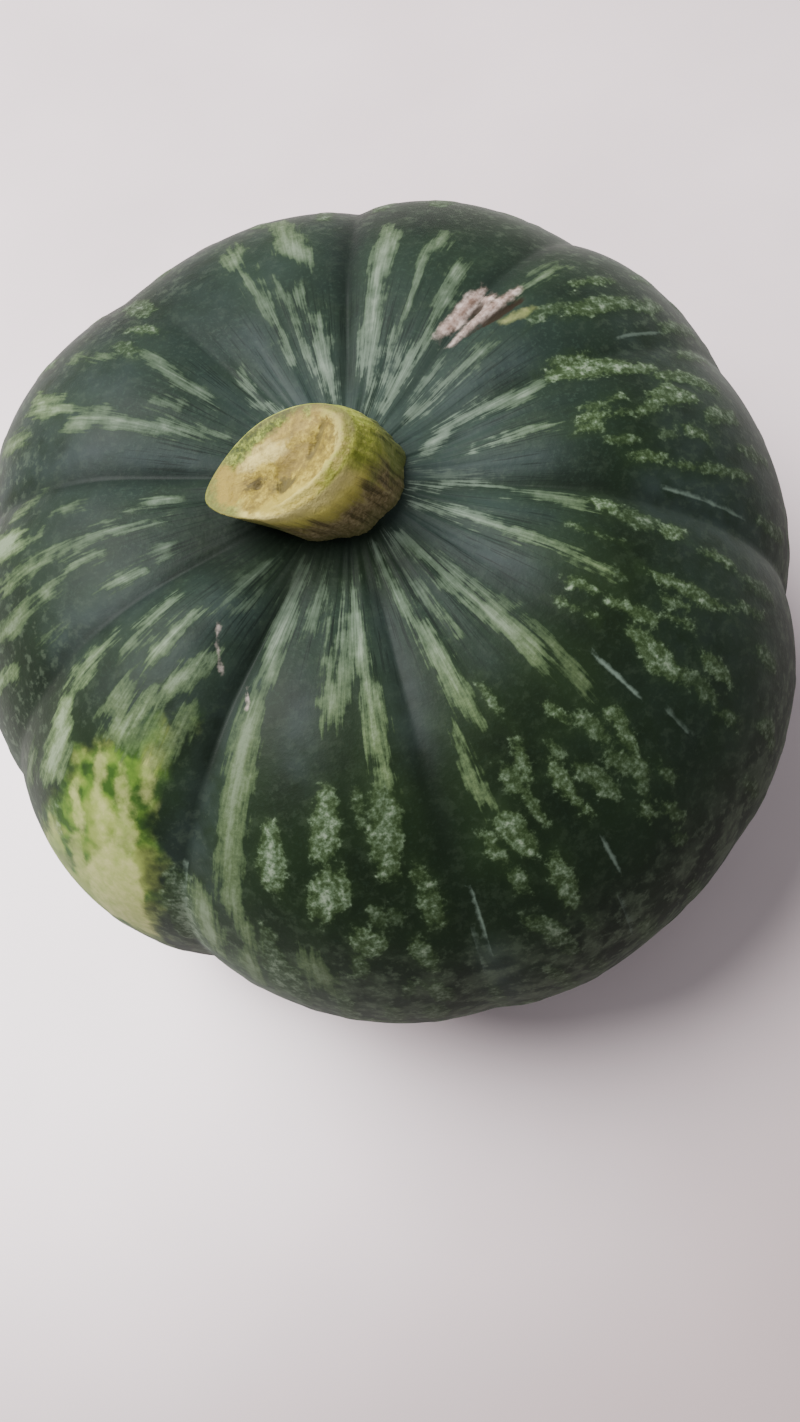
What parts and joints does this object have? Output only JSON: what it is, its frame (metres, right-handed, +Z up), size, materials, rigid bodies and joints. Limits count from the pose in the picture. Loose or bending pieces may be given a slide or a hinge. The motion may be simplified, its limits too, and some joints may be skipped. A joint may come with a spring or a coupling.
{
  "type": "kabocha squash",
  "caption": "Flattened round winter squash with shallow ribs and a slanted stub of corky stem, standing on its blossom end.",
  "frame": {"origin": "on the ground under the middle of the fruit's box; the part stands on the flat ring round its blossom end", "axes": "+Z up along the fruit's axis to the stem; -Y is the front; the stem leans towards -X"},
  "size_m": [0.1754, 0.1842, 0.1211],
  "materials": {
    "rind": "waxy satin rind, very dark green with grey bloom round the stem, pale sage streaks and mottling",
    "stem_cork": "dull yellow-green corky bark with brown lines, and a pale pithy cut face"
  },
  "bodies": {
    "root": {"fruit": "rind", "stem": "stem_cork"}
  },
  "joints": []
}
